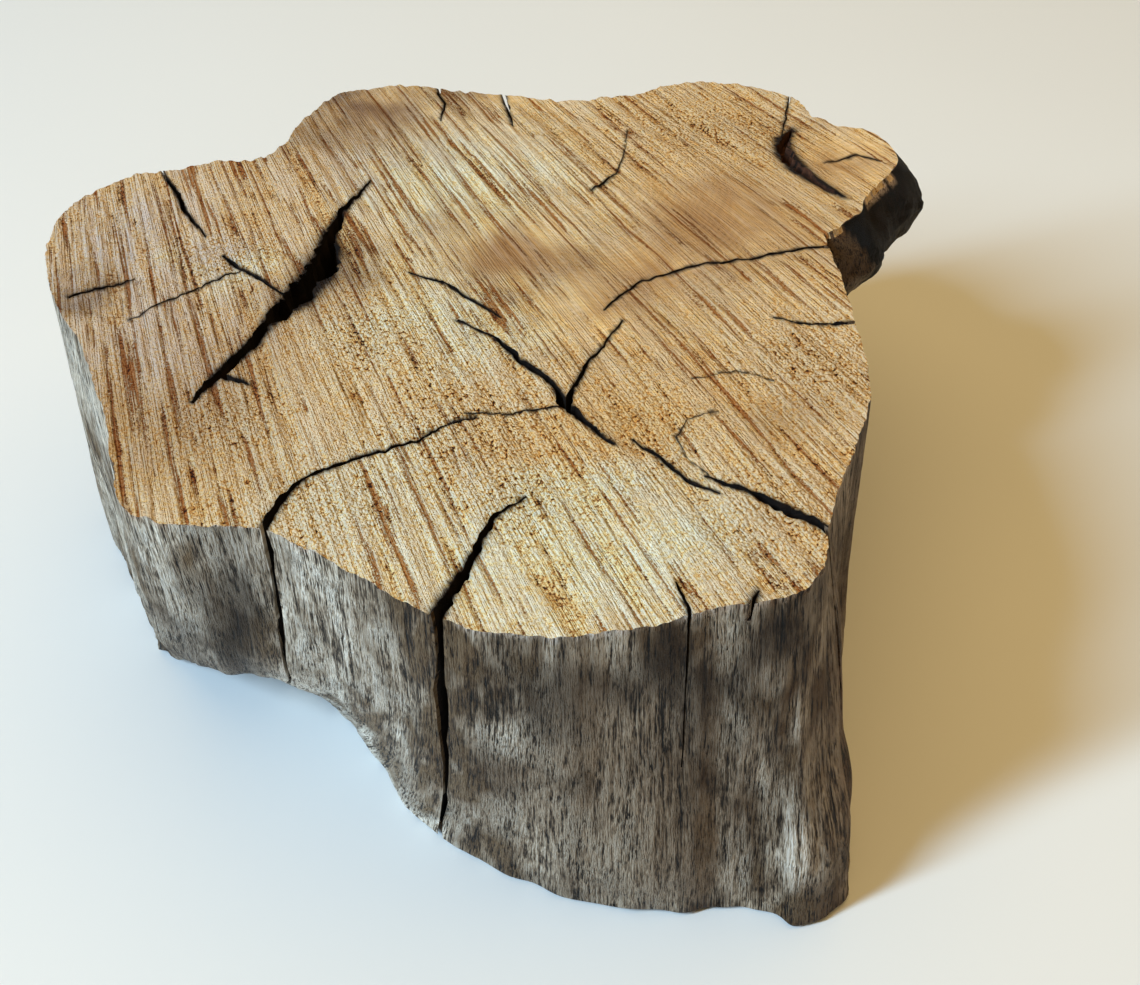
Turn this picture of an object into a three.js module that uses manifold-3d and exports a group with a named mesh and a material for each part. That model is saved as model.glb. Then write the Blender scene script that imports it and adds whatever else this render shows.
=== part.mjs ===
// A thick slice of a weathered, barkless maple log, chainsawn across a crotch where several stems grew
// together. It is one piece of wood, so it is one solid: a lofted trunk with a branch stub grown onto it,
// sawn flat underneath, sawn rough on top, and split by drying checks and two bark seams.
// Millimetres, +Z up. X runs right and Y runs back. The origin is on the surface the log stands on,
// under the middle of the log's box.
import * as THREE from "three";
import Module from "manifold-3d";
import { mergeVertices } from "three/addons/utils/BufferGeometryUtils.js";

const wasm = await Module();
wasm.setup();

// Driving dimensions
const LOG_HEIGHT = 128;
const ORIGIN = [4.29, -5.12]; // where the middle of the log's box lies in the outline's own survey
const FOOT_ROUND = 3; // the worn lower edge
const SPARE = 8; // wood above the cut face, which the saw takes off
const LEVELS = 9;
const FIBRES_PER_STATION = 4;
const STUB_FIBRES_PER_STATION = 3;

// Stations round the log, anticlockwise from the front: x and y on the cut face, x and y at the foot, and
// the profile between them. One station follows one fibre of the wood, so the stems lean as they rise.
// A profile of 1 is straight, more is a knee that stays upright and then rounds under, and less is a wall
// that swells just below the cut.
const STATIONS = [
  [26.6, -145.2, 27, -144, 1],
  [52, -140.3, 56, -149, 0.9],
  [68, -135.2, 73, -149, 1],
  [82.2, -131.8, 87, -150, 1],
  [91.8, -126.5, 99, -156.5, 1.2],
  [96.8, -117.5, 113, -151, 1.2],
  [99.4, -107, 119, -136, 1],
  [103, -96, 117.5, -114, 1],
  [109.5, -79, 118.5, -86, 0.9],
  [118.5, -55, 123, -61, 0.8],
  [120.8, -37, 126, -38, 0.8],
  [119.8, -12.5, 124, -12, 0.8],
  [118.4, 12.8, 114, 12, 1],
  [117.3, 27.5, 107, 26, 1],
  [117, 45, 100, 40, 1],
  [116, 66, 96, 56, 1],
  [117, 90, 95, 78, 1],
  [122, 108, 97, 96, 1],
  [119, 125, 100, 113, 1],
  [106.5, 137, 95, 125, 1],
  [87.3, 145.2, 82, 133, 1],
  [69.1, 141.9, 67, 132, 1],
  [48.9, 133, 50, 126, 1],
  [27.2, 129, 28, 122, 1],
  [1.6, 132.2, 3, 123, 1],
  [-22.4, 137, -18, 126, 1],
  [-42.5, 139.5, -36, 127, 1],
  [-63.4, 131.4, -55, 119, 1],
  [-73.1, 115.7, -66, 103, 1],
  [-78, 96.2, -72, 86, 1],
  [-84.9, 86, -80, 75, 1],
  [-101.5, 81.2, -96, 70, 1],
  [-118.9, 76.3, -116, 66, 1],
  [-140, 65.4, -140, 57, 0.8],
  [-149, 45, -150.5, 40, 0.5],
  [-147, 18.6, -150.5, 17, 0.5],
  [-137.5, -5.6, -141.5, -4, 0.5],
  [-124.1, -26.5, -133, -21, 0.7],
  [-112, -51, -127, -35, 1],
  [-101.1, -80, -123, -43, 1.5],
  [-95.5, -96.7, -117, -47, 1.8],
  [-84.4, -104, -103, -48, 2.2],
  [-71.5, -106.6, -87, -49, 2.4],
  [-54.5, -107.8, -74, -56, 2.6],
  [-33, -120.5, -52, -72, 2.6],
  [-20.3, -128.7, -38, -94, 2.5],
  [-6.7, -137.6, -18, -121, 2],
  [11.4, -143.5, 7, -136, 1.4],
];

// Weathering on the wall: long flutes along the fibre and broad hollows, in millimetres out of the wall
const FLUTES = [
  { waves: 37, height: 0.45, drift: 1.3, phase: 0.4 },
  { waves: 61, height: 0.35, drift: -2.1, phase: 2.2 },
];
const HOLLOWS = [
  { waves: 7, height: 1.6, rise: 4.2, phase: 0.9 },
  { waves: 13, height: 1.1, rise: 6.8, phase: 3.1 },
];

// Swellings on the wall as [x, y, z, reach, height]: the front right foot, the lump and the waist above
// it, and old knots
const SWELLINGS = [
  [108, -150, 30, 26, 3.5],
  [120, -118, 34, 20, 3.5],
  [60, -148, 30, 30, 1.6],
  [-110, -70, 50, 34, 2.5],
  [-60, -95, 60, 26, 2],
  [114, -86, 62, 26, -2.5],
  [40, 130, 60, 40, 4],
  [-60, 120, 40, 30, 3],
  [-125, 68, 50, 30, -3],
];

const WORN_AWAY = 0.75; // how much of it the sawn edge lacks

// The branch stub at the back right: its outline on the cut face, anticlockwise, then its levels as
// [z, size, shift in x, shift in y], from its hanging underside up
const STUB_OUTLINE = [
  [117, 36], [124.7, 41.5], [131.8, 49], [134, 57], [138, 64], [145.4, 74], [149.8, 82], [149.8, 90],
  [147, 98], [142.5, 104.5], [136, 106.8], [130.3, 107.8], [125.4, 114], [112, 108], [100, 90], [100, 50],
];
const STUB_CENTRE = [122, 78];
const STUB_LEVELS = [
  [78, 0.2, -2, 4],
  [81, 0.5, 0, 4],
  [86, 0.72, 3, 5],
  [94, 0.93, 6, 4],
  [104, 1.1, 8, 1],
  [112, 1.16, 7.5, -1],
  [119, 1.14, 5, -1],
  [125, 1.04, 1.5, 0],
  [128, 1, 0, 0],
  [136, 0.98, 0, 0],
];

// Chainsaw marks on the cut face fan out from where the bar was held
const SAW = { pivot: [-400, 860], near: 640, far: 1120, from: -1.32, to: -0.93 };
const SAW_STEPS = { across: 140, along: 10 };
const SAW_MARKS = [
  { spacing: 5.1, height: 0.12, phase: 0 },
  { spacing: 8.7, height: 0.12, phase: 1.1 },
  { spacing: 31, height: 0.4, phase: 2.5 },
];
const SAW_SWAY = { length: 170, height: 0.5, drift: 1 / 60 };

// Drying checks, each from its mouth inwards as [x, y, half width, depth]. A slant of [x, y, profile]
// carries the foot of a check along with the leaning fibres, as for the stations.
const FULL = LOG_HEIGHT + 5;
const CHECKS = [
  // the wide check in the front wall
  {
    slant: [-8, 20, 2],
    path: [
      [-8, -160, 2, FULL], [-5, -138, 1.9, FULL], [-1, -127, 1.5, 126], [4, -116, 1.1, 110],
      [8, -104, 0.7, 60], [17, -95, 0.2, 14],
    ],
  },
  // the long check in the left of the front wall
  {
    slant: [-20, 54, 2.6],
    path: [
      [-56, -126, 1.3, FULL], [-54, -107, 1.2, FULL], [-50, -94, 0.9, FULL], [-45, -87, 0.6, FULL],
      [-31, -79, 0.5, 70], [-13, -70, 0.4, 26],
    ],
  },
  { path: [[-16, -72, 0.4, 20], [-6, -64.7, 0.35, 14], [1.5, -61, 0.3, 10]] },
  // the check through the right front corner
  {
    slant: [22, -22, 1],
    path: [
      [130, -124, 1.3, 66], [100, -108, 1.4, 66], [89, -99, 1.4, 66], [79, -92, 0.9, 40],
      [67, -86, 0.3, 12],
    ],
  },
  { path: [[47, -71, 0.4, 12], [54, -77, 0.7, 22], [62, -87, 0.6, 20], [71, -93, 0.3, 10]] },
  // the star of checks round the main pith
  {
    path: [
      [-7, -13, 0.3, 10], [6, -23, 0.6, 26], [14, -35, 1, 34], [24, -46, 1, 40], [28, -56, 1.6, 44],
      [35, -66, 0.8, 34], [42, -74, 0.4, 14],
    ],
  },
  { path: [[28, -56, 0.9, 40], [34, -37, 0.6, 26], [46, -15, 0.3, 12]] },
  { path: [[-25, 14, 0.3, 10], [-12, 7, 0.6, 20], [-2, -3, 0.6, 20], [7, -12, 0.3, 10]] },
  {
    path: [
      [40, -9, 0.3, 10], [52, 7, 0.5, 18], [70, 15, 0.5, 20], [95, 22, 0.5, 26], [118, 28, 0.6, 30],
      [124, 28, 0.6, 30],
    ],
  },
  { path: [[94, -13, 0.3, 8], [106, -15, 0.5, 16], [126, -15, 0.6, 24]] },
  // the checks in the back edge and in the left stem
  { slant: [60, -10, 1], path: [[2, 142, 1.5, 30], [3.5, 127, 0.9, 24], [7, 110, 0.2, 8]] },
  {
    slant: [50, -10, 1],
    path: [[-24, 148, 0.6, 26], [-22.6, 132, 0.6, 22], [-19.6, 124, 0.5, 18], [-20.5, 112, 0.2, 6]],
  },
  {
    path: [
      [-124, 88, 0.5, 2], [-121, 79, 0.5, 4], [-118, 72, 0.7, 9], [-114, 66, 0.9, 22],
      [-106, 49, 0.8, 22], [-96, 34, 0.3, 8],
    ],
  },
  { path: [[-88, 22, 0.6, 14], [-83, 17, 0.8, 18], [-64, 0, 0.5, 16]] },
  { path: [[-134, -2, 0.6, 12], [-125, 3, 0.6, 12], [-115, 9, 0.3, 8]] },
  // the fine check in the front wall and the chip beside it
  { path: [[63, -154, 0.5, 62], [60, -138, 0.5, 58], [57, -126, 0.3, 20]] },
  { path: [[75, -138, 1.6, 7], [78, -129, 0.4, 4]] },
];

// Seams of decayed bark, enclosed where the stems grew together, in the same form
const BARK_SEAMS = [
  {
    path: [
      [-84, -54, 0.6, 16], [-79, -41, 1.8, 26], [-71, -25, 2.2, 34], [-66, -13, 2.8, 40], [-60, -2, 5, 44],
      [-55, 12, 5.4, 44], [-53, 24, 4.4, 38], [-54, 34, 2.6, 28], [-51, 48, 1.4, 16], [-43, 70, 0.3, 8],
    ],
  },
  { path: [[-78, -41, 1.4, 18], [-69, -44, 0.7, 10]] },
  {
    path: [
      [114, 106, 1.2, 4], [109, 98, 2.9, 6], [109, 88, 3.6, 7], [112, 78, 3.4, 7], [117, 69, 2.2, 6],
      [127, 57, 0.3, 3],
    ],
  },
];
const GAP_LEVELS = 6; // steps down a slanted gap
const GAP_TAPER = 0.65; // how much of its width a gap has lost at its floor

const wood = new THREE.MeshStandardMaterial({ color: 0x9a8468, roughness: 0.85, metalness: 0 });

// A three.js geometry as a manifold-3d solid
function solid(geometry) {
  const bare = geometry.clone();
  bare.deleteAttribute("normal");
  bare.deleteAttribute("uv");
  const merged = mergeVertices(bare, 1e-4);
  return new wasm.Manifold(
    new wasm.Mesh({
      numProp: 3,
      vertProperties: new Float32Array(merged.attributes.position.array),
      triVerts: new Uint32Array(merged.index.array),
    }),
  );
}

function indexed(points, faces) {
  const geometry = new THREE.BufferGeometry().setFromPoints(points);
  geometry.setIndex(faces.flat());
  return geometry;
}

// The outline of the wall at a share of the height, smooth through the stations
function outline(share) {
  const through = STATIONS.map(([x, y, footX, footY, profile]) => {
    const lean = 1 - (1 - share) ** profile;
    return new THREE.Vector3(THREE.MathUtils.lerp(footX, x, lean), THREE.MathUtils.lerp(footY, y, lean), 0);
  });
  const curve = new THREE.CatmullRomCurve3(through, true, "centripetal");
  const count = STATIONS.length * FIBRES_PER_STATION;
  return Array.from({ length: count }, (_, i) => curve.getPoint(i / count));
}

// How far weathering has raised the wall at one fibre and height; most of it dies out towards the sawn edge
function weathering(around, share) {
  const turn = 2 * Math.PI * around;
  const flutes = FLUTES.map((f) => f.height * Math.sin(f.waves * turn + f.drift * share + f.phase));
  const hollows = HOLLOWS.map(
    (h) => h.height * Math.sin(h.waves * turn + h.phase) * Math.sin(h.rise * share + h.phase),
  );
  const sum = [...flutes, ...hollows].reduce((a, b) => a + b, 0);
  return sum * (1 - WORN_AWAY * share ** 3);
}

// How far the swellings push out the wall at a point
function swelling(p, z) {
  return SWELLINGS.reduce((sum, [x, y, middle, reach, height]) => {
    const away = ((p.x - x) ** 2 + (p.y - y) ** 2 + (z - middle) ** 2) / (reach ** 2 / 2);
    return sum + height * Math.exp(-away);
  }, 0);
}

// One level of the trunk's wall
function ring(z) {
  const share = Math.min(z / LOG_HEIGHT, 1);
  const line = outline(share);
  const round = z < FOOT_ROUND ? FOOT_ROUND - Math.sqrt(FOOT_ROUND ** 2 - (FOOT_ROUND - z) ** 2) : 0;
  return line.map((p, i) => {
    const before = line[(i + line.length - 1) % line.length];
    const after = line[(i + 1) % line.length];
    const out = new THREE.Vector2(after.y - before.y, before.x - after.x).normalize();
    const offset = weathering(i / line.length, share) + swelling(p, z) - round;
    return new THREE.Vector3(p.x + out.x * offset, p.y + out.y * offset, z);
  });
}

// A closed solid over rings of equal length, given from the bottom up, each running anticlockwise
function loft(rings) {
  const count = rings[0].length;
  const faces = [];
  for (let level = 0; level + 1 < rings.length; level++)
    for (let i = 0; i < count; i++) {
      const a = level * count + i;
      const b = level * count + ((i + 1) % count);
      faces.push([a, b, b + count], [a, b + count, a + count]);
    }
  const top = (rings.length - 1) * count;
  const flat = (points) => points.map((p) => new THREE.Vector2(p.x, p.y));
  for (const [a, b, c] of THREE.ShapeUtils.triangulateShape(flat(rings[0]), [])) faces.push([c, b, a]);
  for (const [a, b, c] of THREE.ShapeUtils.triangulateShape(flat(rings.at(-1)), []))
    faces.push([top + a, top + b, top + c]);
  return solid(indexed(rings.flat(), faces));
}

function trunk() {
  const heights = [0, FOOT_ROUND / 3];
  for (let k = 0; k < LEVELS; k++) {
    heights.push(THREE.MathUtils.lerp(FOOT_ROUND, LOG_HEIGHT, k / (LEVELS - 1)));
  }
  heights.push(LOG_HEIGHT + SPARE);
  return loft(heights.map(ring));
}

function stub() {
  const through = STUB_OUTLINE.map(([x, y]) => new THREE.Vector3(x, y, 0));
  const curve = new THREE.CatmullRomCurve3(through, true, "centripetal");
  const count = STUB_OUTLINE.length * STUB_FIBRES_PER_STATION;
  const line = Array.from({ length: count }, (_, i) => curve.getPoint(i / count));
  return loft(
    STUB_LEVELS.map(([z, size, shiftX, shiftY]) =>
      line.map((p) => {
        const x = STUB_CENTRE[0] + shiftX + size * (p.x - STUB_CENTRE[0]);
        const y = STUB_CENTRE[1] + shiftY + size * (p.y - STUB_CENTRE[1]);
        return new THREE.Vector3(x, y, z);
      }),
    ),
  );
}

// Everything above the cut face, as a fan-shaped slab with the chainsaw's marks pressed into its underside
function sawnAway() {
  const slab = new THREE.BoxGeometry(1, 1, 1, SAW_STEPS.across, SAW_STEPS.along, 1);
  const place = slab.attributes.position;
  const middle = (SAW.near + SAW.far) / 2;
  for (let i = 0; i < place.count; i++) {
    const angle = THREE.MathUtils.lerp(SAW.to, SAW.from, place.getX(i) + 0.5);
    const reach = THREE.MathUtils.lerp(SAW.near, SAW.far, place.getY(i) + 0.5);
    const across = angle * middle;
    const marks = SAW_MARKS.map((m) => m.height * Math.sin((2 * Math.PI * across) / m.spacing + m.phase));
    const turn = (2 * Math.PI * reach) / SAW_SWAY.length + across * SAW_SWAY.drift;
    const sway = SAW_SWAY.height * Math.sin(turn);
    const relief = marks.reduce((a, b) => a + b, sway);
    const z = place.getZ(i) < 0 ? LOG_HEIGHT + relief : LOG_HEIGHT + 3 * SPARE;
    place.setXYZ(i, SAW.pivot[0] + reach * Math.cos(angle), SAW.pivot[1] + reach * Math.sin(angle), z);
  }
  return solid(slab);
}

// The gap of one check or seam: a blade along its points that narrows as it goes down and leans with the
// wood
function gap({ path, slant = [0, 0, 1] }) {
  const leans = slant[0] !== 0 || slant[1] !== 0;
  const levels = leans ? GAP_LEVELS : 1;
  const roof = LOG_HEIGHT + SPARE;
  const rings = [];
  for (let level = 0; level <= levels; level++) {
    const down = 1 - level / levels;
    const edge = path.map(([x, y, half, depth], i) => {
      const [ax, ay] = path[Math.max(i - 1, 0)];
      const [bx, by] = path[Math.min(i + 1, path.length - 1)];
      const side = new THREE.Vector3(ay - by, bx - ax, 0).setLength(half * (1 - GAP_TAPER * down));
      const z = roof - down * (roof - LOG_HEIGHT + depth);
      const carried = (1 - THREE.MathUtils.clamp(z / LOG_HEIGHT, 0, 1)) ** slant[2];
      const middle = new THREE.Vector3(x + slant[0] * carried, y + slant[1] * carried, z);
      return [middle.clone().add(side), middle.clone().sub(side)];
    });
    rings.push([...edge.map((pair) => pair[1]), ...edge.map((pair) => pair[0]).reverse()]);
  }
  return loft(rings);
}

let log = trunk().add(stub()).subtract(sawnAway());
for (const shape of [...CHECKS, ...BARK_SEAMS]) log = log.subtract(gap(shape));
// a cut can free a splinter: only the largest body is the log
log = log.decompose().sort((a, b) => b.volume() - a.volume())[0];

const made = log.getMesh();
const geometry = new THREE.BufferGeometry();
geometry.setAttribute("position", new THREE.BufferAttribute(new Float32Array(made.vertProperties), 3));
geometry.setIndex(new THREE.BufferAttribute(new Uint32Array(made.triVerts), 1));
geometry.translate(-ORIGIN[0], -ORIGIN[1], 0);
geometry.computeVertexNormals();

const maple = new THREE.Mesh(geometry, wood);
maple.name = "log";

const root = new THREE.Group();
root.add(maple);
export default root;
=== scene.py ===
"""A thick slice of a weathered, barkless maple log with a chainsawn top, standing on a pale table.

Metres in the scene. Sizes below are in millimetres and are turned into metres where a mesh is made.
"""

import math

import bmesh
import bpy
import numpy as np
from mathutils import Matrix, kdtree


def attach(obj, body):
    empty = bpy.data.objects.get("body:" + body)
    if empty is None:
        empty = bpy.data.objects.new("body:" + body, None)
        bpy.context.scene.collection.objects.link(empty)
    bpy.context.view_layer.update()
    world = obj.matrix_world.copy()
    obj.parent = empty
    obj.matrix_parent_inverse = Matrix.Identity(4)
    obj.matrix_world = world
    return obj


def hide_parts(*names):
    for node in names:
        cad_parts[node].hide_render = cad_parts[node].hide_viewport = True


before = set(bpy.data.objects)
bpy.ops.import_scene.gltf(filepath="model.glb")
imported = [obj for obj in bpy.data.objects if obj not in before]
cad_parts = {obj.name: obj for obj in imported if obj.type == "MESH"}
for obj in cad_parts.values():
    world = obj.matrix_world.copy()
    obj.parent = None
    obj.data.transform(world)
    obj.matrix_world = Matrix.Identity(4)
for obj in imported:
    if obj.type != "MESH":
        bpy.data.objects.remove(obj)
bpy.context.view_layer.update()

MM = 0.001

# Table and light.
# A plain pale table top in a room: soft cool daylight from a window low on the left, and soft warm room
# light from above.
TABLE_SIZE = 9000
CAMERA_PLACE = (24.87, -368.39, 399.0)
CAMERA_TILT = 46.0  # degrees up from looking straight down
CAMERA_LENS = 44.2
WINDOW = {"place": (-2560, -1120, 2120), "size": (380, 1900), "power": 170, "colour": "#C2E2FB"}
ROOM = {"place": (250, 200, 1650), "size": (2400, 2400), "power": 23, "colour": "#FFD88E"}
ROOM_GLOW = {"colour": "#FFE8C8", "strength": 0.1}


def colour(code):
    """An sRGB hex colour as linear RGBA."""
    channels = [int(code[i : i + 2], 16) / 255 for i in (1, 3, 5)]
    return tuple(c / 12.92 if c <= 0.04045 else ((c + 0.055) / 1.055) ** 2.4 for c in channels) + (1.0,)


def node(tree, kind, inputs=None, stops=(), **settings):
    """Adds a node. Inputs are sockets to link or plain values, stops a ramp's (place, hex colour) pairs."""
    made = tree.nodes.new(kind)
    for k, (place, code) in enumerate(stops):
        stop = made.color_ramp.elements[k] if k < 2 else made.color_ramp.elements.new(place)
        stop.position = place
        stop.color = colour(code)
    for name, value in settings.items():
        setattr(made, name, value)
    for key, value in (inputs or {}).items():
        socket = made.inputs[key]
        if isinstance(value, bpy.types.NodeSocket):
            tree.links.new(value, socket)
        else:
            socket.default_value = value
    return made


def material(name):
    """A new material with all its nodes cleared, and its node tree."""
    made = bpy.data.materials.new(name)
    made.use_nodes = True
    made.node_tree.nodes.clear()
    return made, made.node_tree


def area_light(name, settings, target):
    """A soft rectangular light at a place, turned to a target, both in millimetres."""
    data = bpy.data.lights.new(name, "AREA")
    data.shape = "RECTANGLE"
    data.size, data.size_y = (s * MM for s in settings["size"])
    data.energy = settings["power"]
    data.color = colour(settings["colour"])[:3]
    light = bpy.data.objects.new(name, data)
    bpy.context.collection.objects.link(light)
    place = np.array(settings["place"], float) * MM
    light.location = place
    towards = np.array(target, float) * MM - place
    light.rotation_euler = (
        math.atan2(math.hypot(towards[0], towards[1]), -towards[2]),
        0,
        math.atan2(-towards[0], towards[1]),
    )
    return light


# The table's thin pale paint, brushed on and dry, has a soft sheen and hardly any pattern
PAINT_TONES = ("#E6E7E6", "#ECEDEC")
PAINT_CLOUDS = 3.0  # to the metre
bpy.ops.mesh.primitive_plane_add(size=TABLE_SIZE * MM)
table = bpy.context.object
table.name = "table_top"
table_paint, tree = material("pale_table")
grid = node(tree, "ShaderNodeTexCoord")
clouds = {"Vector": grid.outputs["Object"], "Scale": PAINT_CLOUDS, "Detail": 2.0}
cloud = node(tree, "ShaderNodeTexNoise", clouds)
tone = node(
    tree,
    "ShaderNodeMix",
    {0: cloud.outputs["Fac"], 6: colour(PAINT_TONES[0]), 7: colour(PAINT_TONES[1])},
    data_type="RGBA",
)
paint = node(tree, "ShaderNodeBsdfPrincipled", {"Base Color": tone.outputs[2], "Roughness": 0.55})
node(tree, "ShaderNodeOutputMaterial", {"Surface": paint.outputs[0]})
table.data.materials.append(table_paint)

area_light("window", WINDOW, (0, 0, 40))
area_light("room_light", ROOM, (0, 0, 0))

world = bpy.data.worlds.new("room")
world.use_nodes = True
world.node_tree.nodes["Background"].inputs["Color"].default_value = colour(ROOM_GLOW["colour"])
world.node_tree.nodes["Background"].inputs["Strength"].default_value = ROOM_GLOW["strength"]
bpy.context.scene.world = world
bpy.context.scene.view_settings.view_transform = "Standard"

camera = bpy.data.objects.new("camera", bpy.data.cameras.new("camera"))
camera.data.sensor_width = 36
camera.data.lens = CAMERA_LENS
camera.location = [c * MM for c in CAMERA_PLACE]
camera.rotation_euler = (math.radians(CAMERA_TILT), 0, 0)
bpy.context.collection.objects.link(camera)
bpy.context.scene.camera = camera


# The log.
# One piece of maple where several stems grew together, long dead and barkless. The wall is weathered grey
# along its fibres, the top is a fresh rough chainsaw cut with sawdust crumbs, drying has split it, and
# decayed bark fills the seams between the stems. It is a lofted wall and stub, cut by rough blades.
LOG_HEIGHT = 128
ORIGIN = (4.29, -5.12)
FOOT_ROUND = 3
SPARE = 8
FIBRE_STEP = 1.25  # between the columns of the wall's mesh
LEVEL_STEP = 3.2

# x and y on the cut face, x and y at the foot, and the profile between them
STATIONS = [
    (26.6, -145.2, 27, -144, 1),
    (52, -140.3, 56, -149, 0.9),
    (68, -135.2, 73, -149, 1),
    (82.2, -131.8, 87, -150, 1),
    (91.8, -126.5, 99, -156.5, 1.2),
    (96.8, -117.5, 113, -151, 1.2),
    (99.4, -107, 119, -136, 1),
    (103, -96, 117.5, -114, 1),
    (109.5, -79, 118.5, -86, 0.9),
    (118.5, -55, 123, -61, 0.8),
    (120.8, -37, 126, -38, 0.8),
    (119.8, -12.5, 124, -12, 0.8),
    (118.4, 12.8, 114, 12, 1),
    (117.3, 27.5, 107, 26, 1),
    (117, 45, 100, 40, 1),
    (116, 66, 96, 56, 1),
    (117, 90, 95, 78, 1),
    (122, 108, 97, 96, 1),
    (119, 125, 100, 113, 1),
    (106.5, 137, 95, 125, 1),
    (87.3, 145.2, 82, 133, 1),
    (69.1, 141.9, 67, 132, 1),
    (48.9, 133, 50, 126, 1),
    (27.2, 129, 28, 122, 1),
    (1.6, 132.2, 3, 123, 1),
    (-22.4, 137, -18, 126, 1),
    (-42.5, 139.5, -36, 127, 1),
    (-63.4, 131.4, -55, 119, 1),
    (-73.1, 115.7, -66, 103, 1),
    (-78, 96.2, -72, 86, 1),
    (-84.9, 86, -80, 75, 1),
    (-101.5, 81.2, -96, 70, 1),
    (-118.9, 76.3, -116, 66, 1),
    (-140, 65.4, -140, 57, 0.8),
    (-149, 45, -150.5, 40, 0.5),
    (-147, 18.6, -150.5, 17, 0.5),
    (-137.5, -5.6, -141.5, -4, 0.5),
    (-124.1, -26.5, -133, -21, 0.7),
    (-112, -51, -127, -35, 1),
    (-101.1, -80, -123, -43, 1.5),
    (-95.5, -96.7, -117, -47, 1.8),
    (-84.4, -104, -103, -48, 2.2),
    (-71.5, -106.6, -87, -49, 2.4),
    (-54.5, -107.8, -74, -56, 2.6),
    (-33, -120.5, -52, -72, 2.6),
    (-20.3, -128.7, -38, -94, 2.5),
    (-6.7, -137.6, -18, -121, 2),
    (11.4, -143.5, 7, -136, 1.4),
]

# Waves round the log, height, change on the way up, phase
FLUTES = [(37, 0.45, 1.3, 0.4), (61, 0.35, -2.1, 2.2)]
HOLLOWS = [(7, 1.6, 4.2, 0.9), (13, 1.1, 6.8, 3.1)]
WORN_AWAY = 0.75  # how much of them has gone at the cut face
# x, y, z, reach, height
SWELLINGS = [
    (108, -150, 30, 26, 3.5),
    (120, -118, 34, 20, 3.5),
    (60, -148, 30, 30, 1.6),
    (-110, -70, 50, 34, 2.5),
    (-60, -95, 60, 26, 2),
    (114, -86, 62, 26, -2.5),
    (40, 130, 60, 40, 4),
    (-60, 120, 40, 30, 3),
    (-125, 68, 50, 30, -3),
]

STUB_OUTLINE = [
    (117, 36), (124.7, 41.5), (131.8, 49), (134, 57), (138, 64), (145.4, 74), (149.8, 82), (149.8, 90),
    (147, 98), (142.5, 104.5), (136, 106.8), (130.3, 107.8), (125.4, 114), (112, 108), (100, 90), (100, 50),
]
STUB_CENTRE = (122, 78)
# z, size, shift in x, shift in y
STUB_LEVELS = [
    (78, 0.2, -2, 4), (81, 0.5, 0, 4), (86, 0.72, 3, 5), (94, 0.93, 6, 4), (104, 1.1, 8, 1),
    (112, 1.16, 7.5, -1), (119, 1.14, 5, -1), (125, 1.04, 1.5, 0), (128, 1, 0, 0), (136, 0.98, 0, 0),
]
STUB_STEP = 1.6

# The chainsaw's marks fan out from a point behind the log, where the saw was held
SAW_PIVOT = (-400, 860)
SAW_NEAR, SAW_FAR = 640, 1120
SAW_FROM, SAW_TO = -1.32, -0.93  # radians
SAW_ACROSS_STEP = 0.85
SAW_ALONG_STEP = 1.9
SAW_MARKS = [(5.1, 0.12, 0), (8.7, 0.12, 1.1), (31, 0.4, 2.5)]  # spacing, height, phase
SAW_SWAY = (170, 0.5, 1 / 60)  # length, height, drift

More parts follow.
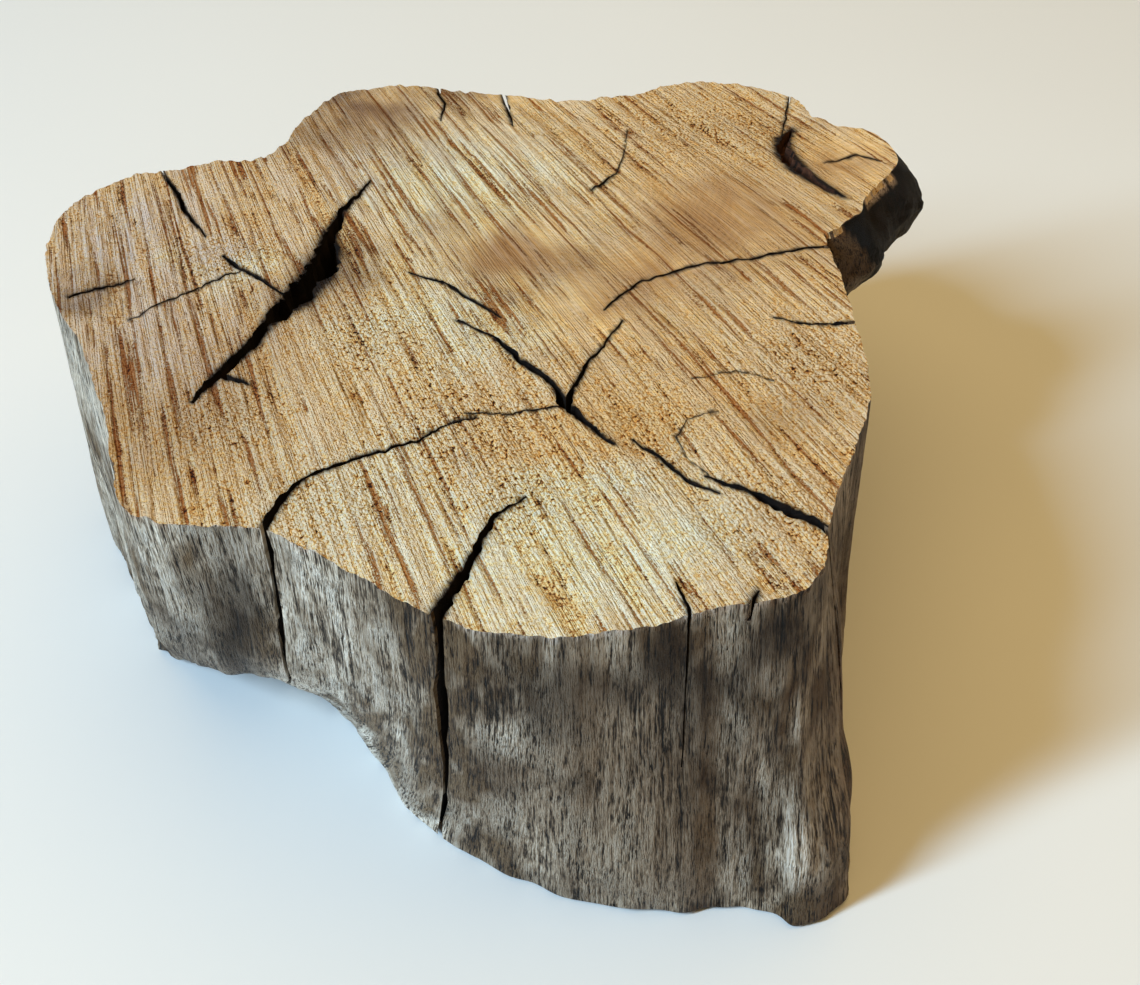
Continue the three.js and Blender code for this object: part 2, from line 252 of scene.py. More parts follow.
# Gaps from the mouth inwards: slant of (x, y, profile) at the foot, then x, y, half width and depth
FULL = LOG_HEIGHT + 5
UPRIGHT = (0, 0, 1)
GAPS = [
    ((-8, 20, 2), [(-8, -160, 2, FULL), (-5, -138, 1.9, FULL), (-1, -127, 1.5, 126), (4, -116, 1.1, 110),
                   (8, -104, 0.7, 60), (17, -95, 0.2, 14)]),
    ((-20, 54, 2.6), [(-56, -126, 1.3, FULL), (-54, -107, 1.2, FULL), (-50, -94, 0.9, FULL),
                      (-45, -87, 0.6, FULL), (-31, -79, 0.5, 70), (-13, -70, 0.4, 26)]),
    ((22, -22, 1), [(130, -124, 1.3, 66), (100, -108, 1.4, 66), (89, -99, 1.4, 66), (79, -92, 0.9, 40),
                    (67, -86, 0.3, 12)]),
    (UPRIGHT, [(47, -71, 0.4, 12), (54, -77, 0.7, 22), (62, -87, 0.6, 20), (71, -93, 0.3, 10)]),
    (UPRIGHT, [(-7, -13, 0.3, 10), (6, -23, 0.6, 26), (14, -35, 1, 34), (24, -46, 1, 40), (28, -56, 1.6, 44),
               (35, -66, 0.8, 34), (42, -74, 0.4, 14)]),
    (UPRIGHT, [(-25, 14, 0.3, 10), (-12, 7, 0.6, 20), (-2, -3, 0.6, 20), (7, -12, 0.3, 10)]),
    (UPRIGHT, [(40, -9, 0.3, 10), (52, 7, 0.5, 18), (70, 15, 0.5, 20), (95, 22, 0.5, 26), (118, 28, 0.6, 30),
               (124, 28, 0.6, 30)]),
    (UPRIGHT, [(94, -13, 0.3, 8), (106, -15, 0.5, 16), (126, -15, 0.6, 24)]),
    ((60, -10, 1), [(2, 142, 1.5, 30), (3.5, 127, 0.9, 24), (7, 110, 0.2, 8)]),
    ((50, -10, 1), [(-24, 148, 0.6, 26), (-22.6, 132, 0.6, 22), (-19.6, 124, 0.5, 18),
                    (-20.5, 112, 0.2, 6)]),
    (UPRIGHT, [(-124, 88, 0.5, 2), (-121, 79, 0.5, 4), (-118, 72, 0.7, 9), (-114, 66, 0.9, 22),
               (-106, 49, 0.8, 22), (-96, 34, 0.3, 8)]),
    (UPRIGHT, [(-134, -2, 0.6, 12), (-125, 3, 0.6, 12), (-115, 9, 0.3, 8)]),
    (UPRIGHT, [(63, -154, 0.5, 62), (60, -138, 0.5, 58), (57, -126, 0.3, 20)]),
    (UPRIGHT, [(75, -138, 1.6, 7), (78, -129, 0.4, 4)]),
    (UPRIGHT, [(-84, -54, 0.6, 16), (-79, -41, 1.8, 26), (-71, -25, 2.2, 34), (-66, -13, 2.8, 40),
               (-60, -2, 5, 44), (-55, 12, 5.4, 44), (-53, 24, 4.4, 38), (-54, 34, 2.6, 28),
               (-51, 48, 1.4, 16), (-43, 70, 0.3, 8)]),
    (UPRIGHT, [(114, 106, 1.2, 4), (109, 98, 2.9, 6), (109, 88, 3.6, 7), (112, 78, 3.4, 7),
               (117, 69, 2.2, 6),
               (127, 57, 0.3, 3)]),
]
# These run into gaps above, so they are cut after them
BRANCH_GAPS = [
    (UPRIGHT, [(28, -56, 0.9, 40), (34, -37, 0.6, 26), (46, -15, 0.3, 12)]),
    (UPRIGHT, [(-88, 22, 0.6, 14), (-83, 17, 0.8, 18), (-64, 0, 0.5, 16)]),
    (UPRIGHT, [(-78, -41, 1.4, 18), (-69, -44, 0.7, 10)]),
    (UPRIGHT, [(-112, -13, 0.2, 6), (-101, -4, 0.35, 8), (-86, 11, 0.35, 8), (-80, 14, 0.2, 6)]),
    (UPRIGHT, [(-16, -72, 0.4, 20), (-6, -64.7, 0.35, 14), (1.5, -61, 0.3, 10)]),
    (UPRIGHT, [(-2, -60, 0.2, 5), (12, -59, 0.3, 6), (26, -57, 0.3, 8)]),
    (UPRIGHT, [(116, 134, 0.4, 9), (112, 114, 0.3, 6), (109, 101, 0.3, 5)]),
    (UPRIGHT, [(123, 81.6, 0.2, 3), (130.6, 84.6, 0.45, 4), (135.8, 87.1, 0.45, 4), (143.4, 82.2, 0.2, 3)]),
    (UPRIGHT, [(51, 106, 0.1, 2), (49, 88, 0.2, 3), (46, 75, 0.25, 4), (39.5, 66, 0.7, 4),
               (37, 64, 0.3, 3)]),
    (UPRIGHT, [(66, -44, 0.08, 2), (80, -38.4, 0.1, 2), (91.4, -43.7, 0.08, 2)]),
    (UPRIGHT, [(73, -59, 0.08, 2), (64, -62, 0.12, 2), (60, -69.5, 0.14, 2), (63, -79, 0.16, 2),
               (68, -85, 0.2, 4)]),
]
GAP_STEP = 1.0
GAP_TAPER = 0.65  # how much of its width a gap has lost at the bottom
GAP_WANDER = (0.35, 0.3)  # how far a gap strays from its path, and more for each millimetre of half width
GAP_RAGGED = 0.5
GAP_LEAST = 0.08


def lattice_noise(seed, *axes):
    """Smooth random values from -1 to 1, with one lattice step to each unit of each axis."""
    axes = np.broadcast_arrays(*axes)
    base = [np.floor(a).astype(np.int64) for a in axes]
    ease = [(a - b) ** 2 * (3 - 2 * (a - b)) for a, b in zip(axes, base)]
    total = np.zeros(axes[0].shape)
    for corner in range(2 ** len(axes)):
        key = np.full(total.shape, seed, dtype=np.uint64)
        weight = np.ones(total.shape)
        for k, (b, e) in enumerate(zip(base, ease)):
            step = corner >> k & 1
            key = (key ^ (b + step).astype(np.uint64)) * np.uint64(0x9E3779B97F4A7C15)
            key ^= key >> np.uint64(29)
            weight = weight * (e if step else 1 - e)
        total += weight * ((key >> np.uint64(11)).astype(float) / 2**52 - 1)
    return total


def layered_noise(seed, octaves, *axes):
    """Noise with finer and weaker layers added."""
    layers = [lattice_noise(seed + k, *(a * 2.03**k for a in axes)) * 0.55**k for k in range(octaves)]
    return sum(layers)


CURVE_SAMPLES = 4000


def closed_curve(points, at):
    """A smooth closed curve through points, sampled at station numbers that may be fractions."""
    points = np.asarray(points, float)
    i = np.floor(at).astype(int) % len(points)
    w = (at - np.floor(at))[:, None]
    p0, p1, p2, p3 = (points[(i + k) % len(points)] for k in (-1, 0, 1, 2))
    pairs = ((p0, p1), (p1, p2), (p2, p3))
    d0, d1, d2 = (np.sqrt(np.linalg.norm(b - a, axis=1))[:, None] for a, b in pairs)
    start = ((p1 - p0) / d0 - (p2 - p0) / (d0 + d1) + (p2 - p1) / d1) * d1
    end = ((p2 - p1) / d1 - (p3 - p1) / (d1 + d2) + (p3 - p2) / d2) * d1
    cubic = 2 * p1 - 2 * p2 + start + end
    square = -3 * p1 + 3 * p2 - 2 * start - end
    return p1 + w * (start + w * (square + w * cubic))


def even_stations(points, step):
    """Station numbers that lie an even step apart along the closed curve through points."""
    fine = np.linspace(0, len(points), CURVE_SAMPLES)
    line = closed_curve(points, fine)
    length = np.concatenate([[0], np.cumsum(np.linalg.norm(np.diff(line, axis=0), axis=1))])
    return np.interp(np.arange(0, length[-1] - step / 2, step), length, fine)


def outward(line):
    """Unit vectors out of an anticlockwise closed line."""
    along = np.roll(line, -1, axis=0) - np.roll(line, 1, axis=0)
    out = np.stack([along[:, 1], -along[:, 0]], axis=1)
    return out / np.linalg.norm(out, axis=1)[:, None]


def mesh_object(name, points, faces):
    """An object from points in millimetres."""
    data = bpy.data.meshes.new(name)
    data.from_pydata((np.asarray(points) * MM).tolist(), [], faces)
    data.update()
    made = bpy.data.objects.new(name, data)
    bpy.context.collection.objects.link(made)
    return made


def loft(name, solids):
    """One object of closed solids, each given as rings (level, point, xyz) from the bottom up."""
    points, faces, first = [], [], 0
    for rings in solids:
        levels, count = rings.shape[:2]
        a = first + np.arange(levels - 1)[:, None] * count + np.arange(count)
        b = first + np.arange(levels - 1)[:, None] * count + (np.arange(count) + 1) % count
        faces += np.stack([a, b, b + count, a + count], axis=-1).reshape(-1, 4).tolist()
        faces.append(list(range(first + count - 1, first - 1, -1)))
        faces.append(list(range(first + (levels - 1) * count, first + levels * count)))
        points.append(rings.reshape(-1, 3))
        first += levels * count
    return mesh_object(name, np.concatenate(points), faces)


def combine(piece, other, operation):
    """Cuts or joins another closed object into this one, and removes the other."""
    change = piece.modifiers.new("combine", "BOOLEAN")
    change.operation = operation
    change.solver = "MANIFOLD"
    change.object = other
    result = bpy.data.meshes.new_from_object(piece.evaluated_get(bpy.context.evaluated_depsgraph_get()))
    piece.modifiers.clear()
    piece.data = result
    bpy.data.objects.remove(other)


def fibre_relief(x, y, z):
    """How far a fibre at one place of the cut face stands out of the wall, at height z."""
    fine = layered_noise(11, 2, x / 1.5, y / 1.5, z / 22)
    strands = layered_noise(17, 3, x / 7, y / 7, z / 80)
    splits = np.clip(lattice_noise(23, x / 2.2, y / 2.2, z / 30) - 0.5, 0, 1)
    pits = np.clip(lattice_noise(29, x / 3, y / 3, z / 7) - 0.6, 0, 1)
    return 0.3 * fine + 0.45 * strands - 1.8 * splits - 0.9 * pits


def wall_rings():
    """The wall's rings, and for each point the place on the cut face where its fibre ends."""
    stations = np.array(STATIONS)
    at = even_stations(stations[:, :2], FIBRE_STEP)
    ends = closed_curve(stations[:, :2], at)
    heights = np.concatenate([[0, 0.9, 1.9], np.arange(FOOT_ROUND, LOG_HEIGHT + SPARE, LEVEL_STEP)])
    heights = np.append(heights, LOG_HEIGHT + SPARE)
    turn = 2 * math.pi * at / len(stations)
    rings = []
    for z in heights:
        share = min(z / LOG_HEIGHT, 1)
        lean = 1 - (1 - share) ** stations[:, 4:]
        line = closed_curve(stations[:, 2:4] + lean * (stations[:, :2] - stations[:, 2:4]), at)
        broad = sum(h * np.sin(waves * turn + drift * share + phase) for waves, h, drift, phase in FLUTES)
        broad = broad + sum(
            h * np.sin(waves * turn + phase) * math.sin(rise * share + phase)
            for waves, h, rise, phase in HOLLOWS
        )
        offset = broad * (1 - WORN_AWAY * share**3)
        for x, y, middle, reach, height in SWELLINGS:
            away = ((line[:, 0] - x) ** 2 + (line[:, 1] - y) ** 2 + (z - middle) ** 2) / (reach**2 / 2)
            offset = offset + height * np.exp(-away)
        if z < FOOT_ROUND:
            offset = offset - (FOOT_ROUND - math.sqrt(FOOT_ROUND**2 - (FOOT_ROUND - z) ** 2))
        else:
            offset = offset + fibre_relief(ends[:, 0], ends[:, 1], z)
        line = line + outward(line) * offset[:, None]
        rings.append(np.column_stack([line, np.full(len(line), z)]))
    rings = np.array(rings)
    return rings, np.broadcast_to(ends, rings.shape[:2] + (2,))


def stub_rings():
    """The branch stub's rings, lumpy under its cut edge."""
    at = even_stations(STUB_OUTLINE, STUB_STEP)
    outline = closed_curve(STUB_OUTLINE, at) - STUB_CENTRE
    levels = np.array(STUB_LEVELS, float)
    rings = []
    for z in np.concatenate([np.arange(levels[0, 0], LOG_HEIGHT, 2), [LOG_HEIGHT, LOG_HEIGHT + SPARE]]):
        size, shift_x, shift_y = (np.interp(z, levels[:, 0], levels[:, k]) for k in (1, 2, 3))
        line = STUB_CENTRE + np.array([shift_x, shift_y]) + size * outline
        lumps = layered_noise(31, 3, line[:, 0] / 9, line[:, 1] / 9, np.full(len(line), z / 9))
        line = line + outward(line) * (lumps * min(1.6, 0.4 + (LOG_HEIGHT - z) / 6))[:, None]
        rings.append(np.column_stack([line, np.full(len(line), z)]))
    return np.array(rings)


def saw_place(x, y):
    """How far across and along the chainsaw's marks a place of the cut face lies."""
    angle = np.arctan2(y - SAW_PIVOT[1], x - SAW_PIVOT[0])
    return angle * (SAW_NEAR + SAW_FAR) / 2, np.hypot(x - SAW_PIVOT[0], y - SAW_PIVOT[1])


# x, y, reach: where the saw burnished the wood smooth
SMOOTH_SPOTS = [
    (10, 26, 24), (34, -2, 20), (84, 46, 34), (-43, 120, 22), (134, 84, 20), (58, 18, 20), (2, 134, 14),
]
# x, y, reach: where it left golden crumbs
CRUMB_SPOTS = [
    (12, -92, 20), (84, -102, 24), (0, -65, 38), (48, -66, 26), (78, 105, 32), (-88, 22, 16), (104, -34, 26),
    (-40, -98, 26), (-34, -22, 24), (-70, -62, 20),
]


def near(spots, x, y):
    """1 in the middle of the nearest spot, fading to 0 away from them all."""
    return np.max([np.exp(-((x - a) ** 2 + (y - b) ** 2) / reach**2) for a, b, reach in spots], axis=0)


def fine_marks(x, y):
    """The fine relief of the sawn face in millimetres."""
    across, along = saw_place(x, y)
    smooth = near(SMOOTH_SPOTS, x, y)
    crumbs = near(CRUMB_SPOTS, x, y)
    ridges = layered_noise(41, 2, across / 1.9, along / 26) * 0.42
    ridges = ridges + lattice_noise(43, across / 4.2, along / 80) * 0.4
    tears = np.clip(lattice_noise(47, across / 1.7, along / 9) - 0.4, 0, 1) * 1.4
    grains = layered_noise(53, 2, x / 1.6, y / 1.6) * (0.22 + 0.3 * crumbs)
    sawn_relief = ridges * (1 - 0.4 * crumbs) - tears * (1 - 0.5 * crumbs)
    return sawn_relief * (1 - 0.82 * smooth) + grains * (1 - 0.75 * smooth)


def saw_height(x, y):
    """The height of the sawn face."""
    across, along = saw_place(x, y)
    broad = sum(h * np.sin(2 * math.pi * across / spacing + phase) for spacing, h, phase in SAW_MARKS)
    length, height, drift = SAW_SWAY
    sway = height * np.sin(2 * math.pi * along / length + across * drift)
    return LOG_HEIGHT + broad + sway + fine_marks(x, y)


def saw_slab():
    """Everything above the cut face, as rings along the marks."""
    reach = np.arange(SAW_NEAR, SAW_FAR, SAW_ALONG_STEP)
    angle = np.arange(SAW_FROM, SAW_TO, 2 * SAW_ACROSS_STEP / (SAW_NEAR + SAW_FAR))
    x = SAW_PIVOT[0] + reach[:, None] * np.cos(angle)
    y = SAW_PIVOT[1] + reach[:, None] * np.sin(angle)
    rows, columns = x.shape
    roof = LOG_HEIGHT + 3 * SPARE
    floor = np.stack([x, y, saw_height(x, y)], axis=-1).reshape(-1, 3)
    index = np.arange(rows * columns).reshape(rows, columns)
    quads = np.stack([index[:-1, :-1], index[:-1, 1:], index[1:, 1:], index[1:, :-1]], axis=-1)
    rim = np.concatenate([index[:-1, 0], index[-1, :-1], index[:0:-1, -1], index[0, :0:-1]])
    top = rows * columns + np.arange(len(rim))
    lid = floor[rim].copy()
    lid[:, 2] = roof
    sides = np.stack([rim, np.roll(rim, -1), np.roll(top, -1), top], axis=-1)
    faces = quads.reshape(-1, 4).tolist() + sides.tolist() + [top.tolist()]
    return mesh_object("saw_slab", np.concatenate([floor, lid]), faces)


def gap_rings(slant, path, seed):
    """A jagged blade along a path that narrows as it goes down and leans with the wood."""
    path = np.array(path, float)
    length = np.concatenate([[0], np.cumsum(np.linalg.norm(np.diff(path[:, :2], axis=0), axis=1))])
    at = np.linspace(0, length[-1], max(int(length[-1] / GAP_STEP), 3))
    x, y, half, depth = (np.interp(at, length, path[:, k]) for k in range(4))
    along = np.gradient(np.column_stack([x, y]), axis=0)
    side = np.column_stack([-along[:, 1], along[:, 0]]) / np.linalg.norm(along, axis=1)[:, None]
    levels = 3 + int(max(depth) / 9)
    roof = LOG_HEIGHT + SPARE
    rings = []
    for level in range(levels + 1):
        down = 1 - level / levels
        z = roof - down * (roof - LOG_HEIGHT + depth)
        carried = (1 - np.clip(z / LOG_HEIGHT, 0, 1)) ** slant[2]
        wander = layered_noise(seed, 3, at / 5, z / 40) * (GAP_WANDER[0] + GAP_WANDER[1] * half)
        ragged = 1 + GAP_RAGGED * layered_noise(seed + 5, 2, at / 2.5, z / 12)
        middle = np.column_stack([x + slant[0] * carried, y + slant[1] * carried]) + side * wander[:, None]
        reach = side * np.maximum(half * (1 - GAP_TAPER * down) * ragged, GAP_LEAST)[:, None]
        line = np.concatenate([middle - reach, (middle + reach)[::-1]])
        rings.append(np.column_stack([line, np.concatenate([z, z[::-1]])]))
    return np.array(rings)


wall, wall_ends = wall_rings()
stub = stub_rings()
log = loft("maple_log", [wall])
combine(log, loft("stub", [stub]), "UNION")
combine(log, saw_slab(), "DIFFERENCE")
for batch, seed in ((GAPS, 100), (BRANCH_GAPS, 300)):
    blades = [gap_rings(slant, path, seed + 10 * k) for k, (slant, path) in enumerate(batch)]
    combine(log, loft("blades", blades), "DIFFERENCE")

# Cutting leaves a few pairs of faces back to back on the same corners, with nothing between them
whole = bmesh.new()
whole.from_mesh(log.data)
same_corners = {}
for face in whole.faces:
    same_corners.setdefault(frozenset(face.verts), []).append(face)
doubled = [face for pair in same_corners.values() if len(pair) > 1 for face in pair]
bmesh.ops.delete(whole, geom=doubled, context="FACES")
whole.to_mesh(log.data)
whole.free()

# What each face is: sawn top, weathered wall, the inside of a gap, or the base
SAWN, WEATHERED, INSIDE, BASE = range(4)
SKIN_DEPTH = 2.1  # how far a face of the wall lies from the lofted skin at most
SAW_DEPTH = 1.2  # and a face of the top from the height of the sawn face
BARK_SPOTS = [(110, 90, 15), (118, 68, 8)]  # x, y, reach of the bark between trunk and stub
CHIP = (76, -135, 6)  # x, y, reach of the fresh chip out of the front edge
data = log.data
places = np.empty(len(data.vertices) * 3)
data.vertices.foreach_get("co", places)
places = places.reshape(-1, 3) / MM
centres = np.empty(len(data.polygons) * 3)
data.polygons.foreach_get("center", centres)
centres = centres.reshape(-1, 3) / MM
normals = np.empty(len(data.polygons) * 3)
data.polygons.foreach_get("normal", normals)
normals = normals.reshape(-1, 3)

skin = np.concatenate([wall.reshape(-1, 3), stub.reshape(-1, 3)])
skin_ends = np.concatenate([wall_ends.reshape(-1, 2), stub.reshape(-1, 3)[:, :2]])
skin_tree = kdtree.KDTree(len(skin))
for k, point in enumerate(skin):
    skin_tree.insert(point, k)
skin_tree.balance()

level = np.abs(centres[:, 2] - saw_height(centres[:, 0], centres[:, 1]))
is_top = (normals[:, 2] > 0.3) & (level < SAW_DEPTH)
is_base = (centres[:, 2] < 0.2) & (normals[:, 2] < -0.9)
in_bark = near(BARK_SPOTS, centres[:, 0], centres[:, 1]) > 0.3
kind = np.where(is_top, SAWN, np.where(is_base, BASE, INSIDE))
for k in np.flatnonzero((kind == INSIDE) & ~in_bark):
    if skin_tree.find(centres[k])[2] < SKIN_DEPTH:
        kind[k] = WEATHERED
in_chip = np.hypot(centres[:, 0] - CHIP[0], centres[:, 1] - CHIP[1]) < CHIP[2]
kind[(kind == INSIDE) & in_chip] = SAWN

corners = np.empty(len(data.loops), np.int32)
data.loops.foreach_get("vertex_index", corners)
sides = np.empty(len(data.polygons), np.int32)
data.polygons.foreach_get("loop_total", sides)
low = np.ones(len(places), bool)
low[corners[np.repeat(kind == SAWN, sides)]] = False
ends = places[:, :2].copy()
for k in np.flatnonzero(low):
    ends[k] = skin_ends[skin_tree.find(places[k])[1]]

# Masks that colour the wood. The relief is as a share of its usual height.
FIBRE_HEIGHT = 1.1
MARK_HEIGHT = 0.9
x, y, z = places.T
fibres = fibre_relief(ends[:, 0], ends[:, 1], z) / FIBRE_HEIGHT
# In the colour the relief is painted shade: darker in the hollows and lighter on the raised wood
relief = np.where(low, fibres, fine_marks(x, y) / MARK_HEIGHT)
smooth = near(SMOOTH_SPOTS, x, y)
crumbs = near(CRUMB_SPOTS, x, y)


def stain_near_gaps(x, y):
    """1 at a gap, fading to 0 a few millimetres away."""
    stain = np.zeros(len(x))
    for _, path in GAPS + BRANCH_GAPS:
        for (ax, ay, ahalf, _), (bx, by, bhalf, _) in zip(path, path[1:]):
            ux, uy = bx - ax, by - ay
            t = np.clip(((x - ax) * ux + (y - ay) * uy) / (ux * ux + uy * uy), 0, 1)
            away = np.hypot(x - ax - t * ux, y - ay - t * uy) - (ahalf + (bhalf - ahalf) * t)
            stain = np.maximum(stain, np.exp(-np.clip(away, 0, None) / (0.1 + 0.3 * ahalf)))
    return stain


stain = np.where(low, 0, stain_near_gaps(x, y))

# The colours of the cut face, and the zones that have them: x, y, reach, name, strength
CUT_TONES = {
    "fresh": "#E2C890",
    "sapwood": "#DCAC6C",
    "heartwood": "#DCA256",
    "burnished": "#7E502A",
    "greyed": "#C6A47C",
    "rim": "#6E4E34",
}
CUT_ZONES = [
    (-125, 30, 46, "greyed", 0.9),
    (-100, -20, 34, "greyed", 0.6),
    (-90, -58, 40, "burnished", 0.42),
    (-70, -20, 22, "burnished", 0.2),
    (-28, -100, 36, "fresh", 0.6),
    (-8, 66, 40, "fresh", 0.9),
    (-10, -10, 30, "fresh", 0.9),
    (-50, 80, 34, "greyed", 0.4),
    (-66, 96, 24, "burnished", 0.35),
    (36, -118, 42, "fresh", 1.0),
    (46, -62, 24, "heartwood", 0.75),
    (20, -78, 12, "heartwood", 0.5),
    (98, -50, 16, "burnished", 0.3),
    (-86, 20, 10, "fresh", 0.6),
    (80, 112, 30, "heartwood", 0.3),
    (10, 26, 24, "burnished", 0.85),
    (36, -2, 22, "burnished", 0.6),
    (85, 48, 34, "burnished", 0.8),
    (58, 18, 22, "burnished", 0.6),
    (-43, 122, 28, "rim", 0.95),
    (0, 138, 16, "rim", 0.8),
    (-78, 108, 16, "rim", 0.4),
    (134, 88, 18, "burnished", 0.6),
    (-136, 0, 16, "rim", 0.7),
    (-52, 12, 16, "rim", 0.7),
]
# The same for the wall: x, y, z, reach, reach in z, name, strength, with x and y where the fibre ends on the
# cut face
WALL_TONES = {
    "grey": "#DCCDB9",
    "brown": "#60340C",
    "umber": "#48392A",
    "drab": "#86715B",
    "silver": "#FFF6E8",
}
WALL_ZONES = [
    (-38, -118, 40, 44, 80, "silver", 0.95),
    (-125, -30, 60, 40, 70, "silver", 0.5),
    (-18, -130, 18, 26, 34, "silver", 0.9),
    (-84, -102, 74, 18, 46, "umber", 0.9),
    (-98, -92, 100, 26, 30, "silver", 0.5),
    (-66, -107, 84, 8, 60, "umber", 0.95),
    (-83, -103, 118, 16, 14, "silver", 0.9),
    # The umber zones high on the front make the wall darker just under the front rim
    (40, -142, 112, 34, 18, "umber", 0.9),
    (28, -144, 92, 8, 26, "umber", 0.9),
    (62, -138, 80, 8, 50, "umber", 0.85),
    (80, -132, 114, 22, 16, "umber", 0.85),
    (14, -143, 58, 12, 22, "drab", 0.8),
    (50, -140, 50, 50, 60, "drab", 0.85),
    # This silver zone on the foot is painted highlight as well as pale weathered wood
    (92, -127, 40, 10, 30, "silver", 0.8),
    (76, -134, 50, 4, 40, "silver", 0.5),
    (104, -100, 60, 14, 90, "brown", 0.8),
    (118, -20, 60, 64, 110, "brown", 1.0),
    (12, -143, 90, 5, 18, "silver", 0.8),
]


def zoned(zones, tones, distances):
    """Tones mixed over plain white, each as strong as its zone is near."""
    made = np.ones((len(distances[0]), 3))
    for zone, away in zip(zones, distances):
        weight = (zone[-1] * np.exp(-away))[:, None]
        made = made * (1 - weight) + np.array(tones[zone[-2]]) * weight
    return made


ZONE_DRIFT = 13  # how far the edges of the zones stray
drift = layered_noise(61, 4, ends[:, 0] / 22, ends[:, 1] / 22, z / 60) * ZONE_DRIFT
sway = layered_noise(67, 4, ends[:, 0] / 22, ends[:, 1] / 22, z / 60) * ZONE_DRIFT
fresh = np.array(colour(CUT_TONES["fresh"])[:3])
cut_tint = zoned(
    [(0, 0, 0, "sapwood", 1)] + CUT_ZONES,
    {name: np.array(colour(code)[:3]) / fresh for name, code in CUT_TONES.items()},
    [np.zeros(len(x))]
    + [
        ((x + drift - a) ** 2 + (y + sway - b) ** 2) / reach**2
        for a, b, reach, _, _ in CUT_ZONES
    ],
)
wall_tint = zoned(
    [(0, 0, 0, "grey", 1)] + WALL_ZONES,
    {name: colour(code)[:3] for name, code in WALL_TONES.items()},
    [np.zeros(len(x))]
    + [
        ((ends[:, 0] + drift * 0.4 - a) ** 2 + (ends[:, 1] + sway * 0.4 - b) ** 2) / reach**2
        + ((z + drift * 2 - c) / tall) ** 2
        for a, b, c, reach, tall, _, _ in WALL_ZONES
    ],
)
# The stub is painted near black: its dark inner bark, darkened further as painted shade
STUB_BARK_AND_SHADE = "#24170C"
on_stub = (np.hypot(x - 140, y - 80) < 42) & (x > 116 + np.abs(y - 80) * 0.1) & low
wall_tint[on_stub] = wall_tint[on_stub] * np.array(colour(STUB_BARK_AND_SHADE)[:3])
tint = np.where(low[:, None], wall_tint, cut_tint)

# The growth rings run round the pith of each stem
PITHS = [(39, -64), (-86, 19), (40, 67), (136, 84)]
rings_out = np.min([np.hypot(x + drift * 0.4 - a, y + sway * 0.4 - b) for a, b in PITHS], axis=0)
across, along = saw_place(x, y)
bark = near(BARK_SPOTS, x, y) > 0.3

log.data.transform(Matrix.Translation((-ORIGIN[0] * MM, -ORIGIN[1] * MM, 0)))
for name, values in (
    ("relief", relief),
    ("smooth", smooth),
    ("crumbs", crumbs),
    ("stain", stain),
    ("rings", rings_out),
    ("bark", bark),
):
    log.data.attributes.new(name, "FLOAT", "POINT").data.foreach_set("value", values.astype(np.float32))
for name, values in (
    ("grain", np.column_stack([ends, z]) * MM),
    ("saw", np.column_stack([across, along, z]) * MM),
    ("tint", tint),
):
    store = log.data.attributes.new(name, "FLOAT_VECTOR", "POINT")
    store.data.foreach_set("vector", values.astype(np.float32).ravel())


def wood_patterns(tree, noises):
    """The stored masks by name, and noise of (name, the vector it follows, grain sizes in mm, detail)."""
    made = {}
    for name in ("relief", "smooth", "crumbs", "stain", "rings", "bark"):
        made[name] = node(tree, "ShaderNodeAttribute", attribute_name=name).outputs["Fac"]
    for name in ("grain", "saw", "tint"):
        made[name] = node(tree, "ShaderNodeAttribute", attribute_name=name).outputs["Vector"]
    for name, place, size, detail in noises:
        scale = tuple(1 / (s * MM) for s in size)
        mapped = node(tree, "ShaderNodeMapping", {"Vector": made[place], "Scale": scale})
        grains = {"Vector": mapped.outputs["Vector"], "Scale": 1.0, "Detail": detail}
        grains.update({"Roughness": 0.65, "Distortion": 0.3})
        made[name] = node(tree, "ShaderNodeTexNoise", grains).outputs["Fac"]
    return made


MIDDLE = 0.5  # the middle value of noise


def patterns_mixed(tree, start, *terms):
    """A number plus patterns, each with a weight and the value at which it adds nothing."""
    total = start - sum(weight * middle for _, weight, middle in terms)
    for pattern, weight, _ in terms:
        added = {0: pattern, 1: weight, 2: total}
        total = node(tree, "ShaderNodeMath", added, operation="MULTIPLY_ADD").outputs[0]
    return total


DRY_WOOD_SPECULAR = 0.25  # unfinished open fibres reflect half as much as a smooth surface


def matt_wood(tree, base, roughness, height, depth):
    """A dull surface with a bump of the given depth in millimetres."""
    bump = node(tree, "ShaderNodeBump", {"Strength": 1.0, "Distance": depth * MM, "Height": height})
    finish = {"Base Color": base, "Roughness": roughness, "Specular IOR Level": DRY_WOOD_SPECULAR}
    surface = node(tree, "ShaderNodeBsdfPrincipled", {**finish, "Normal": bump.outputs["Normal"]})
    node(tree, "ShaderNodeOutputMaterial", {"Surface": surface.outputs[0]})


# Fresh maple end grain, torn across by a chainsaw and never sanded. It is quite matt: pale flat ridges and
# crumbs of sawdust over brown torn grooves, and it is calm and browner where the bar rubbed. The colour also
# has painted light: the crumbs are painted lit in the middle and shaded between, the grooves darker as
# shade.
# Crumbs are about 1.1 mm and grooves 2 mm. The pores are a tenth of a millimetre, too fine to show, so the
# specks stand for them at 0.6 mm.
CRUMB_SIZE = 1.087
GROOVES_FROM, GROOVES_TO = 0.435, 0.395  # noise values where a groove starts and where it is full
